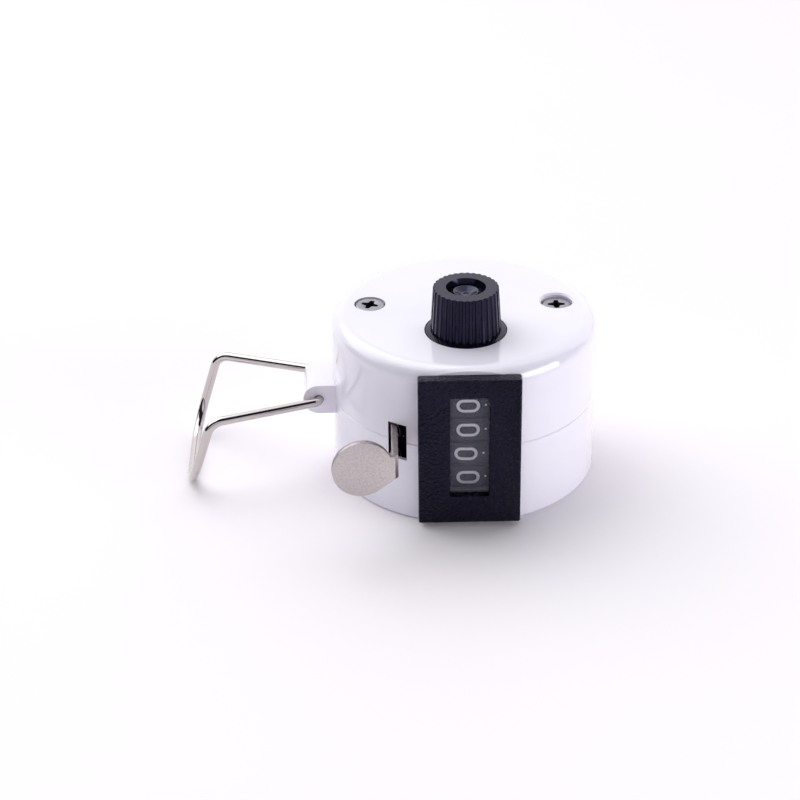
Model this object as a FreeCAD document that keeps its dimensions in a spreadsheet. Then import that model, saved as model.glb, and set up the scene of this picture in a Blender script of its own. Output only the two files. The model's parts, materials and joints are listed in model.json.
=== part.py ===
import FreeCAD, Part
import math
import os
import re

import Sketcher
from FreeCAD import Placement, Rotation, Vector

# Hand tally counter: a white two-shell drum with four number wheels behind a black bezel, a thumb
# lever at the front left, a wire bail on the left and a zero-reset knob on top.
# Frame: the drum's axis is Z, the table is z = 0, the window faces -Y and the bail is at -X.

SIZES = [
    ("drum_radius", 22.0, "outside of the drum"),
    ("drum_height", 28.1, "table to top face"),
    ("seam_z", 14.05, "joint between the two shells"),
    ("seam_break", 0.15, "bevel of each shell's edge at the joint"),
    ("wall", 1.8, "side wall"),
    ("floor", 2.0, "thickness of the base"),
    ("roof", 2.1, "thickness of the top"),
    ("top_round", 2.8, "rounding of the top edge"),
    ("base_round", 0.6, "rounding of the base edge"),
    ("tongue_half_width", 2.5, "tongue at the back that joins the shells"),
    ("tongue_below", 4.0, "tongue at the back that joins the shells"),
    ("tongue_above", 1.5, "tongue at the back that joins the shells"),
    ("tongue_thickness", 0.8, "tongue at the back that joins the shells"),
    ("tongue_play", 0.2, "tongue at the back that joins the shells"),
    ("overcut", 1.0, "how far a cut runs past the piece"),
    ("front_flat_y", -20.75, "flat behind the bezel"),
    ("front_inside_y", -19.25, "inside of the front wall"),
    ("front_flat_width", 18.0, "width cut back for the bezel"),
    ("front_cut_inside", 0.5, "cuts through the front wall, start behind it"),
    ("front_cut", 3.0, "cuts through the front wall, length"),
    ("bezel_width", 16.5, "bezel plate"),
    ("bezel_depth", 2.02, "bezel plate, front to back"),
    ("bezel_bottom", 0.7, "bezel plate"),
    ("bezel_top", 27.03, "bezel plate"),
    ("bezel_round", 0.35, "rounding of the bezel's front edges"),
    ("window_width", 6.4, "opening in the bezel"),
    ("window_bottom", 5.7, "opening in the bezel"),
    ("window_top", 23.85, "opening in the bezel"),
    ("lens_width", 7.4, "clear window"),
    ("lens_bottom", 4.9, "clear window"),
    ("lens_top", 24.5, "clear window"),
    ("lens_depth", 0.8, "clear window"),
    ("lens_rise", 1.75, "part of the clear window that fills the bezel"),
    ("lens_rise_bottom", 6.4, "part of the clear window that fills the bezel"),
    ("lens_play", 0.1, "gap around the clear window"),
    ("peg_radius", 0.7, "bezel locating pegs"),
    ("peg_length", 1.3, "bezel locating pegs"),
    ("peg_x", 5.6, "bezel locating pegs"),
    ("low_peg_z", 3.3, "bezel locating pegs"),
    ("high_peg_z", 25.6, "bezel locating pegs"),
    ("spindle_y", -7.3, "axis of the wheels and the knob"),
    ("wheel_radius", 12.0, "number wheels"),
    ("wheel_pitch", 4.43, "number wheels"),
    ("wheel_width", 3.9, "number wheels, rim"),
    ("stack_z", 13.9, "middle of the four wheels"),
    ("rim_inside", 10.25, "number wheels"),
    ("web_width", 0.7, "number wheels"),
    ("hub_radius", 3.2, "number wheels"),
    ("hub_width", 4.37, "number wheels"),
    ("wheel_bore", 1.56, "number wheels"),
    ("ring_tip", 9.15, "inner reach of the transfer teeth"),
    ("tooth_width", 1.1, "transfer teeth"),
    ("tooth_depth", 1.5, "height of the transfer teeth along the axis"),
    ("tooth_root", 0.5, "how far a transfer tooth runs into the rim"),
    ("driven_teeth", 20, "teeth in the upper hollow of a driven wheel"),
    ("driven_angle", 99, "degrees to the first driven tooth"),
    ("first_driving_angle", 51, "degrees to the first driving tooth"),
    ("second_driving_angle", 69, "degrees to the second driving tooth"),
    ("collar_height", 1.0, "collar of the top wheel, in the ratchet"),
    ("pinion_offset", 6.72, "wheel axis to pinion axis"),
    ("pinion_root", 2.2, "transfer pinion"),
    ("pinion_tip", 3.3, "transfer pinion"),
    ("pinion_half", 1.6, "pinion toothing above and below the plate"),
    ("neck_radius", 1.0, "pinion neck in its plate"),
    ("plate_bore", 1.1, "hole for the pinion neck"),
    ("plate_width", 5.0, "transfer plate"),
    ("plate_thickness", 0.34, "transfer plate"),
    ("plate_play", 0.08, "between a plate and its pinion's teeth"),
    ("fork_reach", 0.4, "transfer plate, in front of the pinion axis"),
    ("plate_root", 0.5, "how far a plate runs into the post"),
    ("rack_front_y", 5.4, "post that carries the transfer plates"),
    ("rack_back_y", 7.4, "post that carries the transfer plates"),
    ("rack_top", 22.4, "post that carries the transfer plates"),
    ("shaft_radius", 1.5, "reset shaft"),
    ("shaft_bottom", 1.3, "reset shaft"),
    ("shaft_end_play", 0.05, "below the reset shaft"),
    ("shaft_top", 32.0, "reset shaft"),
    ("groove_width", 0.8, "pick-up groove along the shaft"),
    ("groove_depth", 0.5, "pick-up groove along the shaft"),
    ("groove_bottom", 5.1, "pick-up groove along the shaft"),
    ("groove_top", 23.25, "pick-up groove along the shaft"),
    ("bearing_radius", 3.2, "shaft bearing in the base"),
    ("bearing_top", 4.6, "shaft bearing in the base"),
    ("bearing_bore", 1.56, "shaft bearing in the base"),
    ("washer_radius", 2.8, "thrust washer"),
    ("washer_thickness", 0.38, "thrust washer"),
    ("key_radius", 0.35, "pick-up pin in each hub"),
    ("key_inside", 1.6, "pick-up pin in each hub"),
    ("key_outside", 3.1, "pick-up pin in each hub"),
    ("key_z", 1.3, "pick-up pin above the wheel's middle"),
    ("ratchet_root", 3.5, "ratchet wheel"),
    ("ratchet_tip", 4.4, "ratchet wheel"),
    ("ratchet_bore", 2.4, "ratchet wheel"),
    ("ratchet_bottom", 22.75, "ratchet wheel"),
    ("ratchet_top", 23.7, "ratchet wheel"),
    ("ratchet_teeth", 10, "ratchet wheel"),
    ("ratchet_foot_x", 3.1, "front corner of a ratchet tooth"),
    ("ratchet_back_x", 2.905, "back corner of a ratchet tooth"),
    ("ratchet_back_y", 2.1, "back corner of a ratchet tooth"),
    ("knob_hole", 6.75, "hole in the top face"),
    ("knob_flange", 7.3, "keeps the knob in the housing"),
    ("knob_bottom", 25.2, "reset knob"),
    ("flange_top", 25.9, "reset knob"),
    ("skirt_radius", 6.6, "reset knob where it leaves the drum"),
    ("grip_bottom_radius", 5.8, "reset knob"),
    ("grip_top_radius", 5.33, "reset knob"),
    ("grip_bottom", 28.25, "reset knob"),
    ("knob_top", 35.8, "reset knob"),
    ("knob_round", 0.12, "rounding of the knob's top edge"),
    ("flute_radius", 0.34, "grooves of the knob"),
    ("flute_lift", 0.06, "middle of a groove outside the knob"),
    ("flute_count", 32, "grooves of the knob"),
    ("cap_recess_radius", 3.25, "recess in the knob's top"),
    ("cap_recess_foot", 2.75, "recess in the knob's top, at its floor"),
    ("cap_recess_depth", 1.6, "recess in the knob's top"),
    ("cap_radius", 2.65, "screw in the knob's top"),
    ("cap_rim", 0.3, "screw in the knob's top"),
    ("cap_slope", 0.15, "sloping faces of the knob screw"),
    ("cap_boss_radius", 2.2, "raised middle of the knob screw"),
    ("cap_height", 0.9, "raised middle of the knob screw"),
    ("cap_dish_radius", 1.85, "dish in the knob screw"),
    ("cap_dish_depth", 0.5, "dish in the knob screw"),
    ("cap_dish_slope", 1.0, "dish in the knob screw"),
    ("cap_hole_radius", 0.45, "hole in the knob screw"),
    ("screw_x", 15.54, "housing screws"),
    ("screw_y", 2.45, "housing screws"),
    ("screw_head_radius", 2.45, "housing screws"),
    ("screw_head_height", 1.5, "housing screws"),
    ("screw_head_round", 0.35, "housing screws"),
    ("screw_shank_radius", 1.2, "housing screws"),
    ("screw_length", 16.0, "housing screws, below the head"),
    ("left_screw_sink", 0.1, "top of the left head below the face"),
    ("right_screw_sink", 0.65, "top of the right head below the face"),
    ("cross_reach", 1.4, "cross recess, length of an arm"),
    ("cross_tip", 0.3, "cross recess, half the width of an arm's end"),
    ("cross_waist", 0.52, "cross recess, inner corners"),
    ("cross_depth", 1.2, "cross recess"),
    ("screw_seat_radius", 2.6, "counterbore"),
    ("seat_break", 0.3, "bevel of the right counterbore"),
    ("screw_clearance", 1.4, "hole through the upper boss"),
    ("screw_floor", 1.0, "left below the pilot holes, above the base"),
    ("boss_radius", 3.4, "screw bosses"),
    ("lug_x", -24.35, "bail axis"),
    ("lug_radius", 2.6, "bail lug"),
    ("lug_length", 9.4, "bail lug"),
    ("lug_bore", 0.84, "bail lug"),
    ("wire_radius", 0.76, "bail wire"),
    ("bail_end_y", 1.2, "bail wire inside the lug"),
    ("bail_side_y", 5.5, "where the legs turn away"),
    ("bail_bend_x", -42.0, "bend at the end of the legs"),
    ("bail_bend_y", 11.8, "bend at the end of the legs"),
    ("bail_bend_z", 14.0, "bend at the end of the legs"),
    ("bail_foot_x", -46.1, "bar that rests on the table"),
    ("bail_foot_y", 11.0, "half the span of the bar on the table"),
    ("bail_end_bend", 1.0, "bend radius at the lug"),
    ("bail_leg_bend", 2.7, "bend radius at the end of the legs"),
    ("bail_foot_bend", 6.5, "bend radius at the table"),
    ("sheet", 1.0, "thickness of the lever"),
    ("inner_bend", 0.5, "inside corners of the lever's bends"),
    ("outer_bend", 0.55, "outside corners of the lever's bends"),
    ("arm_inset", 0.07, "lever arm, inside the edge of its eye"),
    ("pivot_x", 6.0, "lever pivot"),
    ("pivot_y", -17.6, "lever pivot"),
    ("pivot_radius", 0.8, "lever pivot pin"),
    ("pivot_bore", 0.86, "eye of the lever"),
    ("pivot_bottom", 22.75, "lever pivot pin"),
    ("pivot_depth", 1.2, "lever pivot pin in the top wall"),
    ("eye_radius", 1.45, "eye of the lever"),
    ("arm_z", 24.0, "underside of the lever's arm"),
    ("tab_x", -14.9, "outside of the lever's down-turned tab"),
    ("tab_front_y", -13.3, "lever's down-turned tab"),
    ("tab_back_y", -10.9, "lever's down-turned tab"),
    ("stem_x", -12.0, "middle of the lever's stem"),
    ("stem_bottom", 12.8, "lever's stem"),
    ("stem_height", 4.1, "lever's stem"),
    ("stem_bend_y", -15.6, "where the stem runs straight out"),
    ("stem_bend_shift", 0.15, "inner corner of the stem's bend"),
    ("tab_bend_shift", 0.3, "inner corner of the tab's bend"),
    ("thumb_y", -28.5, "front face of the thumb pad at the stem"),
    ("thumb_x", -17.3, "middle of the thumb pad"),
    ("thumb_z", 15.0, "middle of the thumb pad"),
    ("thumb_radius", 4.8, "thumb pad"),
    ("thumb_turn", 7.0, "degrees that the pad is turned"),
    ("neck_angle", 35.0, "degrees, where the neck's edge leaves the pad"),
    ("slot_left", -12.95, "lever slot"),
    ("slot_right", -10.05, "lever slot"),
    ("slot_bottom", 10.75, "lever slot"),
    ("slot_top", 17.2, "lever slot"),
    ("slot_start", 15.0, "lever slot, cut from here outward"),
    ("slot_cut", 10.0, "lever slot, length of the cut"),
    ("slot_skin", 0.7, "wall left round the lever slot"),
    ("slot_rim", 1.5, "width of the thin wall round the lever slot"),
    ("slot_back_y", -13.0, "inside end of the thinning round the lever slot"),
    ("pawl_x", -8.9, "pawl pivot on the lever"),
    ("pawl_y", -14.0, "pawl pivot on the lever"),
    ("pawl_pin_radius", 0.5, "pawl pivot pin"),
    ("pawl_bore", 0.55, "eye of the drive pawl"),
    ("pawl_eye", 1.2, "eye of the drive pawl"),
    ("pawl_bottom", 22.85, "drive pawl"),
    ("pawl_thickness", 0.9, "drive pawl"),
    ("pawl_play", 0.12, "pawl tip before the ratchet tooth"),
    ("pawl_tip_inside", 0.3, "pawl tip, inside the tooth's tip"),
    ("pawl_tip_outside", 0.5, "pawl tip, outside the tooth's tip"),
    ("pawl_spring_wall", 2.3, "pawl spring, start at the tab"),
    ("pawl_spring_knee", 2.0, "pawl spring, bend beside the pawl"),
    ("pawl_spring_x", 0.1, "pawl spring, end behind the pawl"),
    ("pawl_spring_y", 2.9, "pawl spring, end behind the pawl"),
    ("anchor_x", 13.0, "post of the check spring"),
    ("anchor_y", -0.3, "post of the check spring"),
    ("anchor_half", 0.6, "post of the check spring"),
    ("anchor_length", 1.6, "post of the check spring"),
    ("check_knee_x", 2.5, "check spring, bend outside the ratchet"),
    ("check_knee_y", 3.6, "check spring, bend outside the ratchet"),
    ("check_end_x", 0.2, "check spring, end at the ratchet"),
    ("check_end_y", 1.6, "check spring, end at the ratchet"),
    ("spring_wire", 0.3, "springs"),
    ("spring_coil", 1.2, "return spring, middle of the wire"),
    ("spring_turns", 2.25, "return spring"),
    ("spring_step", 0.315, "return spring, rise of one turn"),
    ("spring_clear", 0.17, "return spring, first turn above the pin's end"),
    ("spring_wall_leg", 1.0, "return spring, leg at the wall"),
    ("spring_arm_leg", 4.0, "return spring, leg under the arm"),
]
NAMES = {name for name, _, _ in SIZES}

doc = FreeCAD.newDocument("hand_tally_counter")
sheet = doc.addObject("Spreadsheet::Sheet", "dims")
for row, (name, value, note) in enumerate(SIZES, 1):
    sheet.set(f"A{row}", name)
    sheet.set(f"B{row}", str(value))
    sheet.set(f"C{row}", note)
    sheet.setAlias(f"B{row}", name)
doc.recompute()


def cells(formula):
    """A formula in the sheet's aliases, as another object's expression needs it."""
    return re.sub(r"[a-z][a-z_]*", lambda m: "dims." * (m.group() in NAMES) + m.group(), formula)


def size(formula):
    return float(sheet.evalExpression(cells(formula)))


def bind(thing, **formulas):
    """Binds properties to formulas; a double underscore in a name stands for a dot."""
    for path, formula in formulas.items():
        thing.setExpression(path.replace("__", "."), cells(formula))


# Sketches

def new_body(label):
    body = doc.addObject("PartDesign::Body", label)
    body.Label = label
    return body


def sketch_on(body, plane, lift="0"):
    """A sketch on one of the body's origin planes, moved along its normal.

    The normals are +Z for XY_Plane, -Y for XZ_Plane and +X for YZ_Plane.
    """
    sketch = body.newObject("Sketcher::SketchObject", f"{body.Name}_sketch")
    support = next(f for f in body.Origin.OriginFeatures if f.Role == plane)
    sketch.AttachmentSupport = [(support, "")]
    sketch.MapMode = "FlatFace"
    bind(sketch, AttachmentOffset__Base__z=lift)
    return sketch


def limit(sketch, kind, formula, *where):
    """Adds a dimension that follows a formula."""
    number = sketch.addConstraint(Sketcher.Constraint(kind, *where, size(formula)))
    sketch.setExpression(f"Constraints[{number}]", cells(formula))


def hold(sketch, geometry, point, x, y):
    limit(sketch, "DistanceX", x, -1, 1, geometry, point)
    limit(sketch, "DistanceY", y, -1, 1, geometry, point)


def circle(sketch, x, y, radius):
    middle = Vector(size(x), size(y), 0)
    number = sketch.addGeometry(Part.Circle(middle, Vector(0, 0, 1), size(radius)))
    hold(sketch, number, 3, x, y)
    limit(sketch, "Radius", radius, number)


def polygon(sketch, corners):
    first = sketch.GeometryCount
    spots = [Vector(size(x), size(y), 0) for x, y in corners]
    for start, end in zip(spots, spots[1:] + spots[:1]):
        sketch.addGeometry(Part.LineSegment(start, end))
    for n, (x, y) in enumerate(corners):
        follower = first + (n + 1) % len(corners)
        sketch.addConstraint(Sketcher.Constraint("Coincident", first + n, 2, follower, 1))
        hold(sketch, first + n, 1, x, y)


def box(sketch, left, low, right, high):
    polygon(sketch, [(left, low), (right, low), (right, high), (left, high)])


def cut_circle(sketch, radius, chord_y):
    """A circle about the origin with its front cut off by a chord."""
    reach = f"sqrt(({radius})^2 - ({chord_y})^2)"
    start = math.atan2(size(chord_y), size(reach))
    full = Part.Circle(Vector(), Vector(0, 0, 1), size(radius))
    arc = sketch.addGeometry(Part.ArcOfCircle(full, start, math.pi - start))
    left = Vector(-size(reach), size(chord_y), 0)
    right = Vector(size(reach), size(chord_y), 0)
    line = sketch.addGeometry(Part.LineSegment(left, right))
    sketch.addConstraint(Sketcher.Constraint("Coincident", arc, 3, -1, 1))
    sketch.addConstraint(Sketcher.Constraint("Coincident", arc, 2, line, 1))
    sketch.addConstraint(Sketcher.Constraint("Coincident", arc, 1, line, 2))
    sketch.addConstraint(Sketcher.Constraint("Horizontal", line))
    limit(sketch, "Radius", radius, arc)
    limit(sketch, "DistanceY", chord_y, -1, 1, line, 1)


# Features

def pad(body, sketch, length, side="One side", back=False):
    feature = body.newObject("PartDesign::Pad", f"{body.Name}_pad")
    feature.Profile = sketch
    feature.SideType = side
    feature.Reversed = back
    bind(feature, Length=length)
    return feature


def pocket(body, sketch, length, side="One side", back=False):
    """Cuts against the sketch's normal, or along it with back."""
    feature = body.newObject("PartDesign::Pocket", f"{body.Name}_pocket")
    feature.Profile = sketch
    feature.SideType = side
    feature.Reversed = back
    bind(feature, Length=length)
    return feature


def revolve(body, sketch):
    feature = body.newObject("PartDesign::Revolution", f"{body.Name}_revolution")
    feature.Profile = sketch
    feature.ReferenceAxis = (sketch, ["V_Axis"])
    feature.Angle = 360
    return feature


def around(body, feature, count):
    """Repeats a feature evenly about the body's Z axis."""
    axis = next(f for f in body.Origin.OriginFeatures if f.Role == "Z_Axis")
    pattern = body.newObject("PartDesign::PolarPattern", f"{body.Name}_pattern")
    pattern.Originals = [feature]
    pattern.Axis = (axis, [""])
    pattern.Angle = 360
    bind(pattern, Occurrences=count)
    body.Tip = pattern
    return pattern


def round_edges(body, radius, wanted, kind="Fillet"):
    """Rounds or chamfers the tip's edges that pass a test."""
    doc.recompute()
    base = body.Tip
    names = [f"Edge{n}" for n, edge in enumerate(base.Shape.Edges, 1) if wanted(edge)]
    feature = body.newObject(f"PartDesign::{kind}", f"{body.Name}_{kind.lower()}")
    feature.Base = (base, names)
    if kind == "Fillet":
        bind(feature, Radius=radius)
    else:
        bind(feature, Size=radius)
    return feature


def at_height(edge, z, reach=0.01):
    bounds = edge.BoundBox
    return abs(bounds.ZMin - z) < reach and abs(bounds.ZMax - z) < reach


def extrusion(label, plane, lift, length, draw, *args, side="One side"):
    """A body that is one sketch, pulled out."""
    body = new_body(label)
    sketch = sketch_on(body, plane, lift)
    draw(sketch, *args)
    pad(body, sketch, length, side)
    return body


# Housing

def shell(label, upper):
    """Half of the drum, with its share of the lug, the window, the lever slot and the bosses."""
    body = new_body(label)
    start = "seam_z" if upper else "0"
    height = "drum_height - seam_z" if upper else "seam_z"
    disc = sketch_on(body, "XY_Plane", start)
    circle(disc, "0", "0", "drum_radius")
    pad(body, disc, height)
    edge_z = size("drum_height") if upper else 0.0
    round_edges(body, "top_round" if upper else "base_round", lambda e: at_height(e, edge_z))
    round_edges(body, "seam_break", lambda e: at_height(e, size("seam_z")), "Chamfer")
    lug = sketch_on(body, "XZ_Plane")
    circle(lug, "lug_x", "seam_z", "lug_radius")
    pad(body, lug, "lug_length", "Symmetric")
    neck = sketch_on(body, "XZ_Plane")
    box(neck, "lug_x", "seam_z - lug_radius", "wall - drum_radius", "seam_z + lug_radius")
    pad(body, neck, "lug_length", "Symmetric")
    other_half = sketch_on(body, "XY_Plane", "seam_z")
    box(other_half, "-2*drum_radius", "-2*drum_radius", "2*drum_radius", "2*drum_radius")
    pocket(body, other_half, "drum_height", back=not upper)
    hollow = sketch_on(body, "XY_Plane", "drum_height - roof" if upper else "floor")
    cut_circle(hollow, "drum_radius - wall", "front_inside_y")
    pocket(body, hollow, "drum_height", back=not upper)
    flat = sketch_on(body, "XY_Plane")
    box(flat, "-front_flat_width/2", "-drum_radius - overcut", "front_flat_width/2", "front_flat_y")
    pocket(body, flat, "drum_height", back=True)
    for x in ("-screw_x", "screw_x"):
        boss = sketch_on(body, "XY_Plane", "drum_height - roof" if upper else "floor")
        circle(boss, x, "screw_y", "boss_radius")
        pad(body, boss, height + (" - roof" if upper else " - floor"), back=upper)
    window = sketch_on(body, "XZ_Plane", "-front_inside_y - front_cut_inside")
    side = "(lens_width/2 + lens_play)"
    box(window, f"-{side}", "lens_bottom - lens_play", side, "lens_top + lens_play")
    pocket(body, window, "front_cut", back=True)
    slot = sketch_on(body, "XZ_Plane", "slot_start")
    box(slot, "slot_left", "slot_bottom", "slot_right", "slot_top")
    pocket(body, slot, "slot_cut", back=True)
    thin = sketch_on(body, "XY_Plane", "slot_bottom - slot_rim")
    outline = [("slot_left - slot_rim", "slot_back_y")]
    for step in range(6):
        x = f"(slot_left - slot_rim + {step / 5}*(slot_right - slot_left + 2*slot_rim))"
        outline.append((x, f"-sqrt((drum_radius - slot_skin)^2 - {x}^2)"))
    outline.append(("slot_right + slot_rim", "slot_back_y"))
    polygon(thin, outline)
    pocket(body, thin, "slot_top - slot_bottom + 2*slot_rim", back=True)
    bore = sketch_on(body, "XZ_Plane")
    circle(bore, "lug_x", "seam_z", "lug_bore")
    pocket(body, bore, "lug_length + overcut", "Symmetric")
    pegs = sketch_on(body, "XZ_Plane", "-front_inside_y - front_cut_inside")
    for x in ("-peg_x", "peg_x"):
        circle(pegs, x, "high_peg_z" if upper else "low_peg_z", "peg_radius")
    pocket(body, pegs, "front_cut", back=True)
    return body


def lower_shell():
    body = shell("lower_shell", False)
    bearing = sketch_on(body, "XY_Plane", "floor")
    circle(bearing, "0", "spindle_y", "bearing_radius")
    pad(body, bearing, "bearing_top - floor")
    shaft_hole = sketch_on(body, "XY_Plane", "bearing_top")
    circle(shaft_hole, "0", "spindle_y", "bearing_bore")
    pocket(body, shaft_hole, "bearing_top - shaft_bottom + shaft_end_play")
    for x in ("-screw_x", "screw_x"):
        pilot = sketch_on(body, "XY_Plane", "seam_z")
        circle(pilot, x, "screw_y", "screw_shank_radius")
        pocket(body, pilot, "seam_z - floor - screw_floor")
    outer = "(drum_radius - wall - tongue_play)"
    tongue = sketch_on(body, "XY_Plane", "seam_z - tongue_below")
    box(tongue, "-tongue_half_width", f"{outer} - tongue_thickness", "tongue_half_width", outer)
    pad(body, tongue, "tongue_below + tongue_above")
    root = sketch_on(body, "XY_Plane", "seam_z - tongue_below")
    box(root, "-tongue_half_width", f"{outer} - tongue_thickness",
        "tongue_half_width", f"{outer} + 2*tongue_play")
    pad(body, root, "tongue_below")
    return body


def upper_shell():
    body = shell("upper_shell", True)
    opening = sketch_on(body, "XY_Plane", "drum_height")
    circle(opening, "0", "spindle_y", "knob_hole")
    pocket(body, opening, "roof + overcut")
    for x, sink in (("-screw_x", "left_screw_sink"), ("screw_x", "right_screw_sink")):
        seat = sketch_on(body, "XY_Plane", "drum_height")
        circle(seat, x, "screw_y", "screw_seat_radius")
        pocket(body, seat, f"{sink} + screw_head_height")
        through = sketch_on(body, "XY_Plane", "drum_height")
        circle(through, x, "screw_y", "screw_clearance")
        pocket(body, through, "drum_height")
    anchor = sketch_on(body, "XY_Plane", "drum_height - roof")
    box(anchor, "anchor_x", "anchor_y - anchor_half", "anchor_x + anchor_length", "anchor_y + anchor_half")
    pad(body, anchor, "drum_height - roof - pawl_bottom", back=True)
    socket = sketch_on(body, "XY_Plane", "drum_height - roof")
    circle(socket, "pivot_x", "pivot_y", "pivot_radius")
    pocket(body, socket, "pivot_depth", back=True)
    top, seat_end = size("drum_height"), size("screw_x + screw_seat_radius")
    round_edges(body, "seat_break",
                lambda e: at_height(e, top) and abs(e.BoundBox.XMax - seat_end) < 0.01, "Chamfer")
    return body


def bezel_plate():
    body = new_body("bezel_plate")
    plate = sketch_on(body, "XZ_Plane", "-front_flat_y")
    box(plate, "-bezel_width/2", "bezel_bottom", "bezel_width/2", "bezel_top")
    pad(body, plate, "bezel_depth")
    back = size("front_flat_y")
    round_edges(body, "bezel_round", lambda e: e.BoundBox.YMin < back - 1.0)
    window = sketch_on(body, "XZ_Plane", "-front_flat_y")
    box(window, "-window_width/2", "window_bottom", "window_width/2", "window_top")
    pocket(body, window, "bezel_depth + overcut", back=True)
    pegs = sketch_on(body, "XZ_Plane", "-front_flat_y")
    for x in ("-peg_x", "peg_x"):
        for z in ("low_peg_z", "high_peg_z"):
            circle(pegs, x, z, "peg_radius")
    pad(body, pegs, "peg_length", back=True)
    return body


def window_lens():
    """A clear window whose rim sits behind the bezel and whose middle fills its opening."""
    body = new_body("window_lens")
    rim = sketch_on(body, "XZ_Plane", "-front_flat_y")
    box(rim, "-lens_width/2", "lens_bottom", "lens_width/2", "lens_top")
    pad(body, rim, "lens_depth", back=True)
    middle = sketch_on(body, "XZ_Plane", "-front_flat_y")
    side = "(window_width/2 - lens_play)"
    box(middle, f"-{side}", "lens_rise_bottom", side, "window_top - lens_play")
    pad(body, middle, "lens_rise")
    return body


def housing_screw(label, x, sink, turn):
    """A pan-head screw with a cross recess, turned to its own angle."""
    body = new_body(label)
    head = sketch_on(body, "XY_Plane", "-screw_head_height")
    circle(head, "0", "0", "screw_head_radius")
    pad(body, head, "screw_head_height")
    round_edges(body, "screw_head_round", lambda e: at_height(e, 0.0))
    shank = sketch_on(body, "XY_Plane", "-screw_head_height")
    circle(shank, "0", "0", "screw_shank_radius")
    pad(body, shank, "screw_length", back=True)
    cross = sketch_on(body, "XY_Plane")
    arm = [("cross_reach", "cross_tip"), ("cross_waist", "cross_waist"), ("cross_tip", "cross_reach")]
    corners = []
    for _ in range(4):
        corners += arm
        arm = [(f"-({y})", x) for x, y in arm]
    polygon(cross, corners)
    pocket(body, cross, "cross_depth")
    body.Placement.Rotation = Rotation(Vector(0, 0, 1), turn)
    bind(body, Placement__Base__x=x, Placement__Base__y="screw_y")
    bind(body, Placement__Base__z=f"drum_height - {sink}")
    return body


# Counting train

def wheel_body(label, place):
    """A body on the spindle, level with the middle of a wheel; place 0 is the top wheel."""
    body = new_body(label)
    bind(body, Placement__Base__y="spindle_y")
    bind(body, Placement__Base__z=f"stack_z + (1.5 - {place})*wheel_pitch")
    return body


def transfer_tooth(body, lift, angle):
    """One transfer tooth of a wheel, reaching in from the rim."""
    sketch = sketch_on(body, "XY_Plane", lift)
    box(sketch, "ring_tip", "-tooth_width/2", "rim_inside + tooth_root", "tooth_width/2")
    sketch.AttachmentOffset = Placement(Vector(), Rotation(Vector(0, 0, 1), size(angle)))
    return pad(body, sketch, "tooth_depth")


def number_wheel(label, place, driven, driving):
    """A number wheel: driven by the teeth in its upper hollow, driving with the two below."""
    body = wheel_body(label, place)
    section = sketch_on(body, "XZ_Plane")
    rim, web, hub = "wheel_width/2", "web_width/2", "hub_width/2"
    polygon(section, [
        ("wheel_bore", f"-{hub}"), ("hub_radius", f"-{hub}"), ("hub_radius", f"-{web}"),
        ("rim_inside", f"-{web}"), ("rim_inside", f"-{rim}"), ("wheel_radius", f"-{rim}"),
        ("wheel_radius", rim), ("rim_inside", rim), ("rim_inside", web),
        ("hub_radius", web), ("hub_radius", hub), ("wheel_bore", hub),
    ])
    revolve(body, section)
    if driven:
        around(body, transfer_tooth(body, web, "driven_angle"), "driven_teeth")
    if driving:
        transfer_tooth(body, f"-{web} - tooth_depth", "first_driving_angle")
        transfer_tooth(body, f"-{web} - tooth_depth", "second_driving_angle")
    if not driven:
        collar = sketch_on(body, "XY_Plane", hub)
        circle(collar, "0", "0", "ratchet_bore")
        circle(collar, "0", "0", "wheel_bore")
        pad(body, collar, "collar_height")
    return body


def pick_up_key(label, place):
    """The small pin in a wheel's hub that the shaft's groove picks up at zero."""
    key = doc.addObject("Part::Cylinder", label)
    bind(key, Radius="key_radius", Height="key_outside - key_inside")
    key.Placement.Rotation = Rotation(Vector(1, 0, 0), 90)
    bind(key, Placement__Base__y="spindle_y - key_inside")
    bind(key, Placement__Base__z=f"stack_z + (1.5 - {place})*wheel_pitch + key_z")
    return key


def key_hole(body):
    """The hole across a hub that holds its pick-up key."""
    hole = sketch_on(body, "XZ_Plane")
    circle(hole, "0", "key_z", "key_radius")
    pocket(body, hole, "hub_radius + overcut", back=True)


def ratchet_wheel():
    """Ten saw teeth whose steep faces meet the pawl."""
    body = new_body("ratchet_wheel")
    bind(body, Placement__Base__y="spindle_y")
    root = sketch_on(body, "XY_Plane", "ratchet_bottom")
    circle(root, "0", "0", "ratchet_root")
    circle(root, "0", "0", "ratchet_bore")
    pad(body, root, "ratchet_top - ratchet_bottom")
    tooth = sketch_on(body, "XY_Plane", "ratchet_bottom")
    polygon(tooth, [
        ("-ratchet_foot_x", "0"), ("-ratchet_tip", "0"), ("-ratchet_back_x", "ratchet_back_y"),
    ])
    around(body, pad(body, tooth, "ratchet_top - ratchet_bottom"), "ratchet_teeth")
    return body


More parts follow.
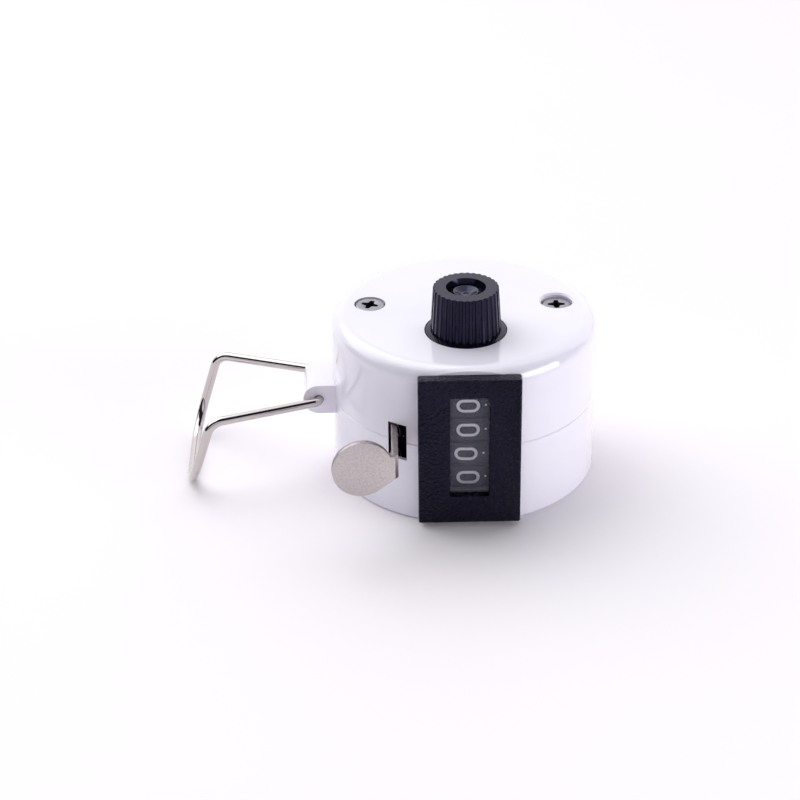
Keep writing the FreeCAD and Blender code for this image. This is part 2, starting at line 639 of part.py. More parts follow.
def transfer_pinion(label, place):
    """Six teeth below its plate and three above, on the neck that turns in the plate."""
    body = new_body(label)
    bind(body, Placement__Base__y="spindle_y + pinion_offset")
    bind(body, Placement__Base__z=f"stack_z + (2 - {place})*wheel_pitch")
    neck = sketch_on(body, "XY_Plane", "-pinion_half")
    circle(neck, "0", "0", "neck_radius")
    pad(body, neck, "2*pinion_half")
    gap = "(plate_thickness/2 + plate_play)"
    reach = "(pinion_tip - tooth_width/2)"
    for lift, count in ((gap, "3"), ("-pinion_half", "6")):
        core = sketch_on(body, "XY_Plane", lift)
        circle(core, "0", "0", "pinion_root")
        pad(body, core, f"pinion_half - {gap}")
        tooth = sketch_on(body, "XY_Plane", lift)
        box(tooth, "-tooth_width/2", f"-{reach}", "tooth_width/2", "0")
        around(body, pad(body, tooth, f"pinion_half - {gap}"), count)
        tip = sketch_on(body, "XY_Plane", lift)
        circle(tip, "0", f"-{reach}", "tooth_width/2")
        around(body, pad(body, tip, f"pinion_half - {gap}"), count)
    return body


def transfer_frame():
    """A post on the base with three plates that reach between the wheels."""
    body = new_body("transfer_frame")
    post = sketch_on(body, "XY_Plane", "floor")
    box(post, "-plate_width/2", "rack_front_y", "plate_width/2", "rack_back_y")
    pad(body, post, "rack_top - floor")
    for place in range(3):
        level = f"stack_z + {1 - place}*wheel_pitch - plate_thickness/2"
        plate = sketch_on(body, "XY_Plane", level)
        start = "spindle_y + pinion_offset - fork_reach"
        box(plate, "-plate_width/2", start, "plate_width/2", "rack_front_y + plate_root")
        pad(body, plate, "plate_thickness")
        fork = sketch_on(body, "XY_Plane", level)
        circle(fork, "0", "spindle_y + pinion_offset", "plate_bore")
        pocket(body, fork, "plate_thickness", back=True)
    return body


def reset_shaft():
    body = new_body("reset_shaft")
    bind(body, Placement__Base__y="spindle_y")
    rod = sketch_on(body, "XY_Plane", "shaft_bottom")
    circle(rod, "0", "0", "shaft_radius")
    pad(body, rod, "shaft_top - shaft_bottom")
    groove = sketch_on(body, "XY_Plane", "groove_bottom")
    box(groove, "-groove_width/2", "-shaft_radius - overcut",
        "groove_width/2", "groove_depth - shaft_radius")
    pocket(body, groove, "groove_top - groove_bottom", back=True)
    return body


def thrust_washer():
    return extrusion("thrust_washer", "XY_Plane", "bearing_top", "washer_thickness", washer_outline)


def washer_outline(sketch):
    circle(sketch, "0", "spindle_y", "washer_radius")
    circle(sketch, "0", "spindle_y", "wheel_bore")


def reset_knob():
    """A tapered, grooved knob whose flange keeps it under the top wall."""
    body = new_body("reset_knob")
    bind(body, Placement__Base__y="spindle_y")
    section = sketch_on(body, "XZ_Plane")
    polygon(section, [
        ("shaft_radius", "knob_bottom"), ("knob_flange", "knob_bottom"), ("knob_flange", "flange_top"),
        ("skirt_radius", "flange_top"), ("skirt_radius", "drum_height"),
        ("grip_bottom_radius", "grip_bottom"), ("grip_top_radius", "knob_top"),
        ("cap_recess_radius", "knob_top"), ("cap_recess_foot", "knob_top - cap_recess_depth"),
        ("shaft_radius", "knob_top - cap_recess_depth"),
    ])
    revolve(body, section)
    top = size("knob_top")
    round_edges(body, "knob_round", lambda e: at_height(e, top) and e.BoundBox.XMax > 4)
    low = sketch_on(body, "XY_Plane", "grip_bottom")
    circle(low, "0", "grip_bottom_radius + flute_lift", "flute_radius")
    high = sketch_on(body, "XY_Plane", "knob_top + flute_lift")
    circle(high, "0", "grip_top_radius + flute_lift", "flute_radius")
    flute = body.newObject("PartDesign::SubtractiveLoft", "reset_knob_flute")
    flute.Profile = low
    flute.Sections = [high]
    around(body, flute, "flute_count")
    return body


def knob_screw():
    """A dished screw at the bottom of the knob's recess."""
    body = new_body("knob_screw")
    bind(body, Placement__Base__y="spindle_y", Placement__Base__z="knob_top - cap_recess_depth")
    section = sketch_on(body, "XZ_Plane")
    dish, stud = "cap_height - cap_dish_depth", "shaft_top - knob_top + cap_recess_depth"
    polygon(section, [
        ("0", stud), ("shaft_radius", stud), ("shaft_radius", "0"), ("cap_radius", "0"),
        ("cap_radius", "cap_rim"), ("cap_boss_radius", "cap_rim + cap_slope"),
        ("cap_boss_radius - cap_slope", "cap_height"), ("cap_dish_radius", "cap_height"),
        ("cap_dish_radius - cap_dish_slope", dish), ("cap_hole_radius", dish),
        ("cap_hole_radius", "cap_rim"), ("0", "cap_rim"),
    ])
    revolve(body, section)
    return body


# Lever and pawl

def thumb_lever():
    """One stamped piece: arm over the wheels, tab down, stem out through the slot, thumb pad."""
    body = new_body("thumb_lever")
    arm = sketch_on(body, "XY_Plane", "arm_z")
    polygon(arm, [
        ("pivot_x", "pivot_y - eye_radius + arm_inset"),
        ("pivot_x", "pivot_y + eye_radius - arm_inset"),
        ("tab_x + sheet", "tab_back_y"), ("tab_x", "tab_back_y"), ("tab_x", "tab_front_y"),
    ])
    pad(body, arm, "sheet")
    eye = sketch_on(body, "XY_Plane", "arm_z")
    circle(eye, "pivot_x", "pivot_y", "eye_radius")
    pad(body, eye, "sheet")
    tab = sketch_on(body, "XY_Plane", "stem_bottom")
    box(tab, "tab_x", "tab_front_y", "tab_x + sheet", "tab_back_y")
    pad(body, tab, "arm_z + sheet - stem_bottom")
    stem = sketch_on(body, "XY_Plane", "stem_bottom")
    left, right = "stem_x - sheet/2", "stem_x + sheet/2"
    polygon(stem, [
        ("tab_x", "tab_back_y"), ("tab_x", "tab_front_y"), (left, "stem_bend_y"),
        (left, "thumb_y + sheet + inner_bend"), (f"{left} - inner_bend", "thumb_y + sheet"),
        ("thumb_x", "thumb_y + sheet + (thumb_x - stem_x)*tan(thumb_turn)"),
        ("thumb_x", "thumb_y + (thumb_x - stem_x)*tan(thumb_turn)"),
        (f"{right} - outer_bend", "thumb_y"), (right, "thumb_y + outer_bend"),
        (right, "stem_bend_y + stem_bend_shift"), ("tab_x + sheet", "tab_front_y + tab_bend_shift"),
        ("tab_x + sheet", "tab_back_y"),
    ])
    pad(body, stem, "stem_height")
    hinge_hole = sketch_on(body, "XY_Plane", "arm_z")
    circle(hinge_hole, "pivot_x", "pivot_y", "pivot_bore")
    pocket(body, hinge_hole, "sheet", back=True)
    pawl_hole = sketch_on(body, "XY_Plane", "arm_z")
    circle(pawl_hole, "pawl_x", "pawl_y", "pawl_pin_radius")
    pocket(body, pawl_hole, "sheet", back=True)
    reach = "(stem_x + sheet/2 - thumb_x)"
    low, high = "stem_bottom - thumb_z", "stem_bottom + stem_height - thumb_z"
    tangent = "thumb_radius*sin(neck_angle)", "-thumb_radius*cos(neck_angle)"
    end = f"{reach} - outer_bend"
    neck_outline = [("0", "0"), tangent, (end, low), (end, high), ("0", high)]
    turn = Rotation(Vector(0, 1, 0), size("thumb_turn"))
    back_y = "thumb_y + sheet + (thumb_x - stem_x)*tan(thumb_turn)"
    for draw, outline in ((circle, ("0", "0", "thumb_radius")), (polygon, (neck_outline,))):
        face = sketch_on(body, "XZ_Plane")
        draw(face, *outline)
        face.AttachmentOffset = Placement(Vector(), turn)
        bind(face, AttachmentOffset__Base__x="thumb_x", AttachmentOffset__Base__y="thumb_z")
        bind(face, AttachmentOffset__Base__z=f"-({back_y})")
        pad(body, face, "sheet")
    return body


def lever_pin():
    pin = doc.addObject("Part::Cylinder", "lever_pin")
    bind(pin, Radius="pivot_radius", Height="drum_height - roof + pivot_depth - pivot_bottom")
    bind(pin, Placement__Base__x="pivot_x", Placement__Base__y="pivot_y")
    bind(pin, Placement__Base__z="pivot_bottom")
    return pin


def pawl_pin():
    pin = doc.addObject("Part::Cylinder", "pawl_pin")
    bind(pin, Radius="pawl_pin_radius", Height="arm_z + sheet - pawl_bottom")
    bind(pin, Placement__Base__x="pawl_x", Placement__Base__y="pawl_y")
    bind(pin, Placement__Base__z="pawl_bottom")
    return pin


def drive_pawl():
    """Pushes the steep face of the ratchet tooth at the left of the wheel."""
    body = new_body("drive_pawl")
    eye = sketch_on(body, "XY_Plane", "pawl_bottom")
    circle(eye, "pawl_x", "pawl_y", "pawl_eye")
    pad(body, eye, "pawl_thickness")
    finger = sketch_on(body, "XY_Plane", "pawl_bottom")
    tooth_x, tooth_y = "-ratchet_tip", "spindle_y - pawl_play"
    polygon(finger, [
        ("pawl_x - pawl_eye*0.8", "pawl_y + pawl_eye*0.6"),
        ("pawl_x + pawl_eye*0.8", "pawl_y - pawl_eye*0.6"),
        (f"{tooth_x} + pawl_tip_inside", tooth_y), (f"{tooth_x} - pawl_tip_outside", tooth_y),
    ])
    pad(body, finger, "pawl_thickness")
    hole = sketch_on(body, "XY_Plane", "pawl_bottom")
    circle(hole, "pawl_x", "pawl_y", "pawl_bore")
    pocket(body, hole, "pawl_thickness", back=True)
    return body


# Springs and wire

def leaf_spring(label, z, height, points):
    """A strip on edge through the given points."""
    half = "spring_wire/2"
    there = [(x, f"{y} - {half}") for x, y in points]
    back = [(x, f"{y} + {half}") for x, y in reversed(points)]
    return extrusion(label, "XY_Plane", z, height, polygon, there + back)


def rounded_wire(points, radii):
    """Straight runs through points, joined by tangent arcs of the given radii."""
    edges = []
    start = points[0]
    for before, corner, after, radius in zip(points, points[1:], points[2:], radii):
        back = (before - corner).normalize()
        ahead = (after - corner).normalize()
        half = back.getAngle(ahead) / 2
        entry = corner + back * (radius / math.tan(half))
        leave = corner + ahead * (radius / math.tan(half))
        centre = corner + (back + ahead).normalize() * (radius / math.sin(half))
        crown = centre + (corner - centre).normalize() * radius
        edges.append(Part.LineSegment(start, entry).toShape())
        edges.append(Part.Arc(entry, crown, leave).toShape())
        start = leave
    edges.append(Part.LineSegment(start, points[-1]).toShape())
    return Part.Wire(edges)


def tube_along(wire, radius):
    start = wire.Edges[0]
    direction = start.tangentAt(start.FirstParameter)
    section = Part.Wire(Part.makeCircle(radius, start.valueAt(start.FirstParameter), direction))
    return wire.makePipeShell([section], True, True)


def wire_bail():
    """One wire: an end in each side of the lug, two legs, and a foot bar on the table."""
    lug_x, lug_z = size("lug_x"), size("seam_z")
    end_y, side_y = size("bail_end_y"), size("bail_side_y")
    bend = [size("bail_bend_x"), size("bail_bend_y"), size("bail_bend_z")]
    foot_x, foot_z = size("bail_foot_x"), size("wire_radius")
    near = [
        Vector(lug_x, -end_y, lug_z), Vector(lug_x, -side_y, lug_z),
        Vector(bend[0], -bend[1], bend[2]), Vector(foot_x, -size("bail_foot_y"), foot_z),
    ]
    far = [Vector(p.x, -p.y, p.z) for p in reversed(near)]
    radii = [size("bail_end_bend"), size("bail_leg_bend"), size("bail_foot_bend")]
    bail = doc.addObject("Part::Feature", "wire_bail")
    bail.Shape = tube_along(rounded_wire(near + far, radii + radii[::-1]), size("wire_radius"))
    return bail


def return_spring():
    """A coil round the lever's pivot, with one leg at the wall and one under the arm."""
    coil, wire = size("spring_coil"), size("spring_wire")
    helix = Part.makeHelix(size("spring_step"), size("spring_step*spring_turns"), coil)
    helix.translate(Vector(size("pivot_x"), size("pivot_y"), size("pivot_bottom + spring_clear")))
    turns = helix.Edges
    first, last = turns[0], turns[-1]
    start, finish = first.valueAt(first.FirstParameter), last.valueAt(last.LastParameter)
    in_leg = first.tangentAt(first.FirstParameter) * size("spring_wall_leg")
    out_leg = last.tangentAt(last.LastParameter) * size("spring_arm_leg")
    legs = [Part.makeLine(start - in_leg, start), Part.makeLine(finish, finish + out_leg)]
    spring = doc.addObject("Part::Feature", "return_spring")
    spring.Shape = tube_along(Part.Wire([legs[0], *turns, legs[1]]), wire / 2)
    return spring


pieces = [
    lower_shell(), upper_shell(), bezel_plate(), window_lens(),
    housing_screw("left_screw", "-screw_x", "left_screw_sink", -21),
    housing_screw("right_screw", "screw_x", "right_screw_sink", 0),
    transfer_frame(), thrust_washer(), reset_shaft(), reset_knob(), knob_screw(), ratchet_wheel(),
    thumb_lever(), lever_pin(), drive_pawl(), pawl_pin(), return_spring(), wire_bail(),
    leaf_spring("pawl_spring", "pawl_bottom", "pawl_thickness", [
        ("tab_x + sheet", "pawl_y + pawl_spring_wall"),
        ("pawl_x - pawl_spring_knee", "pawl_y + pawl_spring_knee"),
        ("pawl_x + pawl_spring_x", "pawl_y + pawl_spring_y"),
    ]),
    leaf_spring("check_spring", "pawl_bottom", "pawl_thickness", [
        ("anchor_x", "anchor_y"), ("ratchet_tip + check_knee_x", "spindle_y + check_knee_y"),
        ("ratchet_tip + check_end_x", "spindle_y + check_end_y"),
    ]),
]
for place, name in enumerate(("units", "tens", "hundreds", "thousands")):
    wheel = number_wheel(f"{name}_wheel", place, driven=place > 0, driving=place < 3)
    key_hole(wheel)
    pieces.append(wheel)
    pieces.append(pick_up_key(f"{name}_key", place))
    if place > 0:
        pieces.append(transfer_pinion(f"{name}_pinion", place))

doc.recompute()
for item in doc.Objects:
    if {"Invalid", "Error"} & set(item.State):
        raise RuntimeError(f"{item.Label} did not build: {item.State}")
os.makedirs("parts", exist_ok=True)
for piece in pieces:
    if piece.Shape.isNull() or not piece.Shape.isValid():
        raise RuntimeError(f"{piece.Label} has no valid shape")
    solids = piece.Shape.Solids
    if len(solids) != 1:
        raise RuntimeError(f"{piece.Label} has {len(solids)} solids")
for piece in pieces:
    piece.Shape.exportStep(f"parts/{piece.Label}.step")
print(len(pieces), "pieces")
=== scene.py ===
import bmesh
import bpy
import json
import math
from mathutils import Matrix, Vector


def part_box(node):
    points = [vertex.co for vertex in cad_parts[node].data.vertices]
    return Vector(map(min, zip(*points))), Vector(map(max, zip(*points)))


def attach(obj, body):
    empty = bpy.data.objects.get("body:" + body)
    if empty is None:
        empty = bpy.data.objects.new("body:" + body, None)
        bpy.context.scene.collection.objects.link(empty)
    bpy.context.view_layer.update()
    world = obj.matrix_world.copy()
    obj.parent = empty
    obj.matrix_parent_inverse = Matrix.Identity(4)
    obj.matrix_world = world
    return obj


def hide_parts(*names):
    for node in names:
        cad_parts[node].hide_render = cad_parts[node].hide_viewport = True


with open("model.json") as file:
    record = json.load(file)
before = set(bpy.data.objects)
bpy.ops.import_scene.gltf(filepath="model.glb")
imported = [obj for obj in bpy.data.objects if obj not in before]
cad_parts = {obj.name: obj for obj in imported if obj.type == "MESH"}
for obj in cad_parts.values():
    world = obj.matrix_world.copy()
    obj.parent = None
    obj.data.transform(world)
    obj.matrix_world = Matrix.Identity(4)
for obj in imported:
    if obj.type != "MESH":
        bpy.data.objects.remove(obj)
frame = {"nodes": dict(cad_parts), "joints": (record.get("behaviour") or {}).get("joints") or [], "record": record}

MM = 0.001
nodes = frame["nodes"]
joints = {joint["name"]: joint for joint in frame["joints"]}
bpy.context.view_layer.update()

# The lever, measured in the part's own frame
ARM_UNDERSIDE = 22 * MM
PAD_START_Y = -26 * MM

# A housing screw's recess
RECESS_DEPTH = 1.4 * MM
RECESS_REACH = 1.6 * MM
RECESS_RIM = 0.05 * MM

# Numerals: strokes in a cell one unit high and WIDE wide, read with the window's right at +Z
WIDE = 0.56
MARK_UP = -0.865
MARK_SIZE = 0.10
NUMERAL_HEIGHT = 3.3 * MM
NUMERAL_STROKE = 0.50 * MM
NUMERAL_LIFT = 0.015 * MM
LONGEST_STEP = 0.08
WHEEL_SHIFTS = {"units": -0.12 * MM, "tens": -0.12 * MM, "hundreds": -0.45 * MM, "thousands": -0.10 * MM}

# Widths of the softened edges
SOFT_EDGES = {"lever": 0.12 * MM, "lens": 0.10 * MM, "bezel": 0.22 * MM, "screw": 0.06 * MM}

TABLE_REACH = 3.0

# Camera
EYE = Vector((-14.827, -329.672, 197.081)) * MM
HEADING = -0.7057
ELEVATION = 29.438
ROLL = -0.77
LENS = 100.69
SENSOR = 36

# Materials

def new_material(name, colour, roughness=0.5, metallic=0.0, **sockets):
    """A principled material, its tree, its shader and object coordinates."""
    material = bpy.data.materials.new(name)
    material.use_nodes = True
    tree = material.node_tree
    shader = tree.nodes["Principled BSDF"]
    shader.inputs["Base Color"].default_value = (*colour, 1)
    shader.inputs["Roughness"].default_value = roughness
    shader.inputs["Metallic"].default_value = metallic
    for socket, value in sockets.items():
        shader.inputs[socket.replace("_", " ")].default_value = value
    place = tree.nodes.new("ShaderNodeTexCoord").outputs["Object"]
    return material, tree, shader, place


def noise(tree, place, scale, detail=3.0, stretch=(1, 1, 1)):
    """A noise value, its scale in cells per metre."""
    mapping = tree.nodes.new("ShaderNodeMapping")
    mapping.inputs["Scale"].default_value = stretch
    tree.links.new(place, mapping.inputs["Vector"])
    texture = tree.nodes.new("ShaderNodeTexNoise")
    texture.inputs["Scale"].default_value = scale
    texture.inputs["Detail"].default_value = detail
    tree.links.new(mapping.outputs["Vector"], texture.inputs["Vector"])
    return texture.outputs["Fac"]


def ramp(tree, value, stops):
    """A colour ramp through (position, colour) stops."""
    node = tree.nodes.new("ShaderNodeValToRGB")
    elements = node.color_ramp.elements
    while len(elements) < len(stops):
        elements.new(0.5)
    for element, (position, colour) in zip(elements, stops):
        element.position = position
        element.color = (*colour, 1)
    tree.links.new(value, node.inputs["Fac"])
    return node.outputs["Color"]


def spread(tree, value, low, high):
    """Maps a noise value's usual range onto another range."""
    node = tree.nodes.new("ShaderNodeMapRange")
    node.inputs["From Min"].default_value = 0.3
    node.inputs["From Max"].default_value = 0.7
    node.inputs["To Min"].default_value = low
    node.inputs["To Max"].default_value = high
    tree.links.new(value, node.inputs["Value"])
    return node.outputs["Result"]


def bump(tree, shader, height, depth, strength=1.0):
    """Adds relief of a real depth in metres."""
    node = tree.nodes.new("ShaderNodeBump")
    node.inputs["Strength"].default_value = strength
    node.inputs["Distance"].default_value = depth
    tree.links.new(height, node.inputs["Height"])
    tree.links.new(node.outputs["Normal"], shader.inputs["Normal"])


def shade(share, colour):
    """The colour made darker or lighter by a share."""
    return tuple(channel * share for channel in colour)


def white_abs():
    """Glossy white moulding with a faint lavender cast and a slight ripple."""
    material, tree, shader, place = new_material(
        "white_abs", (0.87, 0.85, 0.94), 0.14,
        Specular_IOR_Level=0.6, Coat_Weight=0.6, Coat_Roughness=0.03)
    tint = ramp(tree, noise(tree, place, 60), [(0.3, (0.85, 0.83, 0.935)), (0.7, (0.89, 0.87, 0.95))])
    tree.links.new(tint, shader.inputs["Base Color"])
    tree.links.new(spread(tree, noise(tree, place, 260), 0.10, 0.20), shader.inputs["Roughness"])
    bump(tree, shader, noise(tree, place, 140, 2), 0.00001, 0.3)
    return material


def moulded(name, colour, roughness, grain, depth, specular=0.5, tint=(1, 1, 1), mottle=0.35):
    """Moulded plastic with a spark-eroded grain."""
    material, tree, shader, place = new_material(name, colour, roughness, Specular_IOR_Level=specular)
    shader.inputs["Specular Tint"].default_value = (*tint, 1)
    dark, light = shade(1 - mottle, colour), shade(1 + mottle, colour)
    shades = ramp(tree, noise(tree, place, grain * 0.4), [(0.35, dark), (0.65, light)])
    tree.links.new(shades, shader.inputs["Base Color"])
    relief = noise(tree, place, grain, 4)
    tree.links.new(spread(tree, relief, roughness - 0.06, roughness + 0.1), shader.inputs["Roughness"])
    bump(tree, shader, relief, depth, 0.9)
    return material


def metal(name, colour, roughness, grain, stretch=(1, 1, 1), depth=0.000004, change=0.06, mottle=0.16):
    """Metal whose tint, roughness and surface vary with its working marks."""
    material, tree, shader, place = new_material(name, colour, roughness, 1.0)
    marks = noise(tree, place, grain, 4, stretch)
    dark, light = shade(1 - mottle, colour), shade(1 + mottle, colour)
    tree.links.new(ramp(tree, marks, [(0.3, dark), (0.7, light)]), shader.inputs["Base Color"])
    tree.links.new(spread(tree, marks, roughness - change, roughness + change), shader.inputs["Roughness"])
    bump(tree, shader, marks, depth, 0.6)
    return material


def clear_plastic():
    """Clear window plastic with fine scratches; its thin grey film over the wheels is a painted reflection of the
    bright surroundings.
    """
    # Painted reflection: the grey base colour at low alpha stands for the lens reflecting the bright room
    material, tree, shader, place = new_material(
        "clear_plastic", (0.36, 0.36, 0.48), 0.12, Alpha=0.10, Specular_IOR_Level=0.7)
    haze = noise(tree, place, 700, 4, (1, 1, 0.25))
    tree.links.new(spread(tree, haze, 0.06, 0.2), shader.inputs["Roughness"])
    bump(tree, shader, haze, 0.000002, 0.4)
    return material


VIOLET_SHEEN = (0.58, 0.54, 1.0)

LOOKS = {
    "white_plastic": white_abs(),
    "black_bezel": moulded("bezel_grain", (0.003, 0.003, 0.008), 0.22, 2000, 0.0006, 0.24, VIOLET_SHEEN),
    "knob_black": moulded("knob_satin", (0.004, 0.004, 0.010), 0.14, 1500, 0.000006, 0.37, VIOLET_SHEEN),
    "wheel_black": moulded("wheel_satin", (0.020, 0.020, 0.028), 0.45, 1800, 0.000015, 0.4),
    "clear_window": clear_plastic(),
    "screw_steel": metal("screw_steel", (0.31, 0.30, 0.33), 0.36, 2400, depth=0.00006, change=0.12),
    "lever_nickel": metal("blasted_nickel", (0.56, 0.51, 0.51), 0.44, 3600, depth=0.00006, change=0.12),
    "wire_nickel": metal("polished_nickel", (0.58, 0.54, 0.53), 0.05, 400, (1, 1, 0.2), 0.000001, 0.02, 0.03),
    "inner_steel": metal("inner_steel", (0.52, 0.52, 0.53), 0.35, 900),
    "inner_nylon": moulded("natural_nylon", (0.70, 0.68, 0.62), 0.5, 900, 0.00001, mottle=0.06),
    "brass": metal("brass", (0.78, 0.58, 0.28), 0.32, 900),
    "numeral_white": moulded("numeral_paint", (0.93, 0.93, 0.96), 0.5, 2200, 0.000004, mottle=0.03),
}
SHEARED = metal("sheared_edge", (0.34, 0.31, 0.31), 0.38, 2600, (1, 1, 0.15), 0.00008, 0.15)
# Painted shade: a near-black colour on the walls and floor of the screws' cross recesses, standing for the shade
# that falls there
RECESS_SHADE = moulded("recess_painted_shade", (0.010, 0.009, 0.009), 0.6, 2000, 0.00003)
GLOSS = moulded("knob_gloss", (0.007, 0.007, 0.015), 0.10, 900, 0.000006, 0.5, VIOLET_SHEEN)
NODE_LOOKS = {"knob_screw": GLOSS}


def dress_frame():
    """Gives every CAD node the look of its own material slot."""
    for entry in frame["record"]["subparts"]:
        node = nodes[entry["node"]]
        for slot in node.material_slots:
            slot.material = NODE_LOOKS.get(entry["node"], LOOKS[entry["material_slot"]])
        for face in node.data.polygons:
            face.use_smooth = True


# Pieces

def new_piece(name, mesh, slot, body):
    """A shown piece with a record slot's look, riding on a CAD body."""
    piece = bpy.data.objects.new(name, mesh)
    bpy.context.collection.objects.link(piece)
    mesh.materials.clear()
    mesh.materials.append(LOOKS[slot])
    for face in mesh.polygons:
        face.use_smooth = True
    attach(piece, body)
    return piece


def softened(node, body, slot, width, second=None, choose=None):
    """Stands for a CAD node with lightly rounded edges, and a second look on chosen faces."""
    mesh = nodes[node].data.copy()
    work = bmesh.new()
    work.from_mesh(mesh)
    bmesh.ops.remove_doubles(work, verts=work.verts, dist=0.000002)
    bmesh.ops.dissolve_limit(work, angle_limit=math.radians(1), verts=work.verts, edges=work.edges)
    work.normal_update()
    chosen = [choose(face) for face in work.faces] if choose else []
    work.to_mesh(mesh)
    work.free()
    piece = new_piece(f"{node}_soft", mesh, slot, body)
    if second:
        mesh.materials.append(second)
        for face, picked in zip(mesh.polygons, chosen):
            face.material_index = int(picked)
    bevel = piece.modifiers.new("edges", "BEVEL")
    bevel.width = width
    bevel.segments = 2
    bevel.limit_method = "ANGLE"
    bevel.angle_limit = math.radians(30)
    bevel.harden_normals = True
    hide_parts(node)
    return piece


def sheet_edge(face):
    """The sheared faces of the lever: level ones below the arm, the pad's rim and its outer bend."""
    middle = face.calc_center_median()
    if middle.z > ARM_UNDERSIDE:
        return False
    outer_bend = face.normal.x > 0.25
    rim = abs(face.normal.y) < 0.5
    return abs(face.normal.z) > 0.25 or (middle.y < PAD_START_Y and (outer_bend or rim))


def cross_recess(node):
    """Picks the walls and floor of a housing screw's recess."""
    low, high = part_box(node)
    middle = (low + high) / 2

    def inside(face):
        spot = face.calc_center_median()
        reach = math.hypot(spot.x - middle.x, spot.y - middle.y)
        return high.z - RECESS_DEPTH < spot.z < high.z - RECESS_RIM and reach < RECESS_REACH

    return inside


# Numerals

def bend(middle_x, middle_y, radius_x, radius_y, start, end, steps=12):
    """Points along an ellipse from one angle to another, in degrees."""
    spots = []
    for step in range(steps + 1):
        angle = math.radians(start + (end - start) * step / steps)
        spots.append((middle_x + radius_x * math.cos(angle), middle_y + radius_y * math.sin(angle)))
    return spots


def numeral_strokes(digit):
    """The centre lines of one digit's strokes."""
    half, top = WIDE / 2, 0.5
    bowl = half * 0.98
    shapes = {
        0: [bend(0, top - bowl, half, bowl, 0, 180) + bend(0, bowl - top, half, bowl, 180, 360)
            + [(half, top - bowl)]],
        1: [[(-half * 0.6, top - 0.2), (0, top), (0, -top)]],
        2: [bend(0, top - bowl, half, bowl, 170, -30) + [(-half, -top), (half, -top)]],
        3: [bend(0, top - 0.25, half * 0.9, 0.25, 150, -90) + bend(0, 0.26 - top, half, 0.26, 90, -150)],
        4: [[(half * 0.5, -top), (half * 0.5, top), (-half, -0.2), (half, -0.2)]],
        5: [[(half * 0.85, top), (-half * 0.8, top), (-half * 0.9, 0.05)]
            + bend(0, -0.17, half, 0.33, 130, -150)],
        6: [bend(0, -0.2, half, 0.3, 0, 360) + [(half, -0.2)],
            [(-half, -0.2)] + bend(half * 0.3, -0.1, half * 1.3, 0.6, 170, 80)],
        7: [[(-half, top), (half, top), (-half * 0.2, -top)]],
        8: [bend(0, 0.24, half * 0.85, 0.26, 0, 360), bend(0, -0.25, half, 0.25, 0, 360)],
        9: [bend(0, 0.2, half, 0.3, 0, 360),
            [(half, 0.2)] + bend(-half * 0.3, 0.1, half * 1.3, 0.6, -10, -100)],
    }
    return shapes[digit]


def even_steps(path, longest):
    """The path with extra points, so that no step is longer than the longest."""
    spots = [Vector(path[0])]
    for point in path[1:]:
        start, end = spots[-1].copy(), Vector(point)
        count = math.ceil((end - start).length / longest)
        spots += [start.lerp(end, step / count) for step in range(1, count + 1)]
    return spots


def ribbon(work, path, width, place):
    """A flat stroke of a numeral along a path, set onto the wheel by a function."""
    closed = (Vector(path[0]) - Vector(path[-1])).length < 0.01
    spots = even_steps(path, LONGEST_STEP)
    rows = []
    for n, spot in enumerate(spots):
        before = spots[n - 1] if n else (spots[-2] if closed else spot)
        after = spots[n + 1] if n + 1 < len(spots) else (spots[1] if closed else spot)
        way = (after - before).normalized()
        side = Vector((-way.y, way.x)) * width / 2
        rows.append([work.verts.new(place(*(spot + side))), work.verts.new(place(*(spot - side)))])
    for first, second in zip(rows, rows[1:]):
        work.faces.new((first[0], first[1], second[1], second[0]))


def numerals(body, joint, shift):
    """The ten printed numerals of one number wheel, zero at the front at rest."""
    spindle = Vector(joints[joint]["pos_m"])
    low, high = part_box(f"{body}_wheel")
    radius = (high.x - low.x) / 2 + NUMERAL_LIFT
    work = bmesh.new()
    for digit in range(10):
        middle = math.radians(36 * digit) + shift / radius

        def place(across, up, middle=middle):
            angle = middle - up * NUMERAL_HEIGHT / radius
            outward = Vector((math.sin(angle), -math.cos(angle), 0))
            return spindle + outward * radius + Vector((0, 0, across * NUMERAL_HEIGHT))

        for path in numeral_strokes(digit):
            ribbon(work, path, NUMERAL_STROKE / NUMERAL_HEIGHT, place)
        ribbon(work, [(-MARK_SIZE / 2, MARK_UP), (MARK_SIZE / 2, MARK_UP)], MARK_SIZE, place)
    mesh = bpy.data.meshes.new(f"{body}_numerals")
    work.to_mesh(mesh)
    work.free()
    return new_piece(f"{body}_numerals", mesh, "numeral_white", body)


# Stage, lights and camera

def stage():
    """A pale table top under the object."""
    material, tree, shader, place = new_material(
        "pale_table", (0.96, 0.93, 0.96), 0.6, Specular_IOR_Level=0.2)
    tint = ramp(tree, noise(tree, place, 8), [(0.3, (0.955, 0.92, 0.95)), (0.7, (0.97, 0.94, 0.97))])
    tree.links.new(tint, shader.inputs["Base Color"])
    bump(tree, shader, noise(tree, place, 900, 2), 0.00001, 0.3)
    mesh = bpy.data.meshes.new("table_top")
    corners = [(TABLE_REACH * x, TABLE_REACH * y, 0) for x, y in ((-1, -1), (1, -1), (1, 1), (-1, 1))]
    mesh.from_pydata(corners, [], [(0, 1, 2, 3)])
    table = bpy.data.objects.new("table_top", mesh)
    mesh.materials.append(material)
    bpy.context.collection.objects.link(table)


def direction_share(tree, way, axis, low, high):
    """How far a direction points along an axis, from 0 to 1 between two limits."""
    towards = tree.nodes.new("ShaderNodeVectorMath")
    towards.operation = "DOT_PRODUCT"
    towards.inputs[1].default_value = axis
    tree.links.new(way, towards.inputs[0])
    share = tree.nodes.new("ShaderNodeMapRange")
    share.inputs["From Min"].default_value = low
    share.inputs["From Max"].default_value = high
    tree.links.new(towards.outputs["Value"], share.inputs["Value"])
    return share.outputs["Result"]


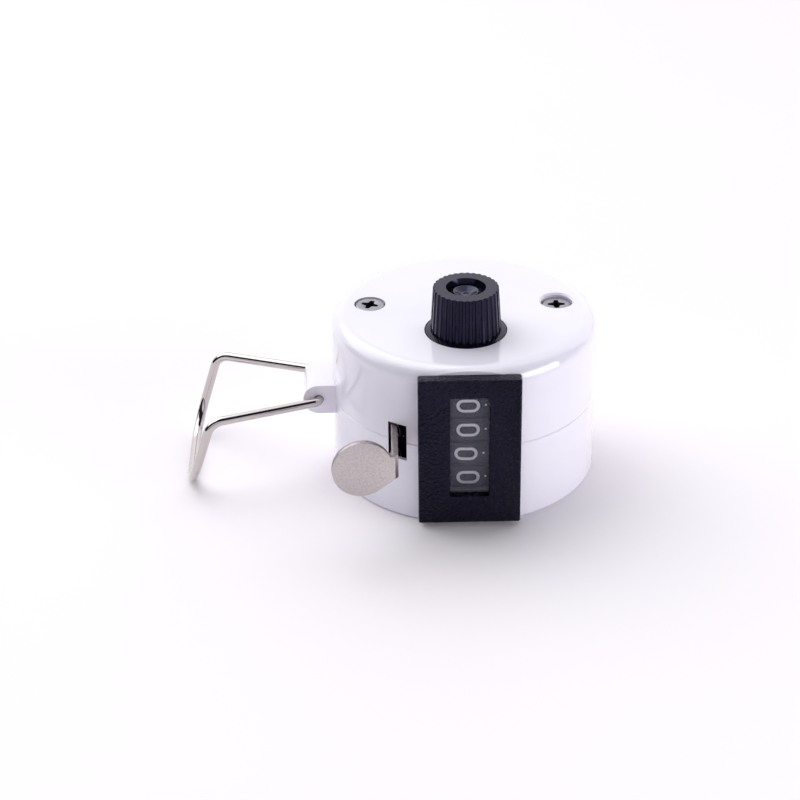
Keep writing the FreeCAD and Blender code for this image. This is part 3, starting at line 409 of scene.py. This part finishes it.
def studio():
    """Soft light that falls off towards the front, with a dark gap between two banks overhead."""
    world = bpy.data.worlds.new("studio")
    world.use_nodes = True
    tree = world.node_tree
    way = tree.nodes.new("ShaderNodeTexCoord").outputs["Generated"]
    dark, dim = (0.07, 0.07, 0.09), (0.72, 0.72, 0.78)
    soft, bright = (1.0, 0.99, 1.04), (1.3, 1.29, 1.32)
    height = direction_share(tree, way, (0.05, 0.48, 0.87), -1, 1)
    glow = ramp(tree, height, [(0.24, dark), (0.38, dim), (0.55, soft), (0.95, bright)])
    gap = direction_share(tree, way, (0, 0.88, 0.475), -0.6, 0.6)
    white, black = (1, 1, 1), (0.02, 0.02, 0.03)
    banks = ramp(tree, gap, [(0.08, white), (0.15, black), (0.85, black), (0.92, white)])
    light = tree.nodes.new("ShaderNodeMix")
    light.data_type = "RGBA"
    light.blend_type = "MULTIPLY"
    light.inputs["Factor"].default_value = 1
    tree.links.new(glow, light.inputs["A"])
    tree.links.new(banks, light.inputs["B"])
    tree.links.new(light.outputs["Result"], tree.nodes["Background"].inputs["Color"])
    tree.nodes["Background"].inputs["Strength"].default_value = 1.0
    bpy.context.scene.world = world
    bpy.context.scene.view_settings.view_transform = "Standard"


def area_light(name, place, target, width, power, colour=(1, 1, 1)):
    """A square panel of light that faces a target."""
    light = bpy.data.lights.new(name, "AREA")
    light.shape = "RECTANGLE"
    light.size = width
    light.size_y = width
    light.energy = power
    light.color = colour
    lamp = bpy.data.objects.new(name, light)
    lamp.location = place
    lamp.rotation_euler = (Vector(target) - Vector(place)).to_track_quat("-Z", "Y").to_euler()
    bpy.context.collection.objects.link(lamp)


def camera():
    """A view from just left of the front and 29 degrees up, with a slight roll."""
    heading, elevation, roll = math.radians(HEADING), math.radians(ELEVATION), math.radians(ROLL)
    data = bpy.data.cameras.new("camera")
    data.lens = LENS
    data.sensor_width = SENSOR
    data.clip_start = 0.01
    eye = bpy.data.objects.new("camera", data)
    right = Vector((math.cos(heading), math.sin(heading), 0))
    back = Vector((math.sin(heading) * math.cos(elevation), -math.cos(heading) * math.cos(elevation),
                   math.sin(elevation)))
    up = back.cross(right)
    turned_right = right * math.cos(roll) + up * math.sin(roll)
    turned_up = up * math.cos(roll) - right * math.sin(roll)
    turn = Matrix((turned_right, turned_up, back)).transposed().to_4x4()
    eye.matrix_world = Matrix.Translation(EYE) @ turn
    bpy.context.collection.objects.link(eye)
    bpy.context.scene.camera = eye


dress_frame()
for body, shift in WHEEL_SHIFTS.items():
    numerals(body, f"{body}_turn", shift)
softened("thumb_lever", "lever", "lever_nickel", SOFT_EDGES["lever"], SHEARED, sheet_edge)
softened("window_lens", "housing", "clear_window", SOFT_EDGES["lens"])
softened("bezel_plate", "housing", "black_bezel", SOFT_EDGES["bezel"])
# Each screw's cross recess gets the painted shade colour on its walls and floor
for screw in ("left_screw", "right_screw"):
    softened(screw, "housing", "screw_steel", SOFT_EDGES["screw"], RECESS_SHADE, cross_recess(screw))
stage()
studio()
area_light("key", (-0.45, 0.25, 0.65), (0, 0, 0.01), 0.9, 4.4)
area_light("right", (0.60, -0.30, 0.09), (0, 0, 0.02), 0.4, 3.0, (0.98, 0.98, 1.0))
camera()
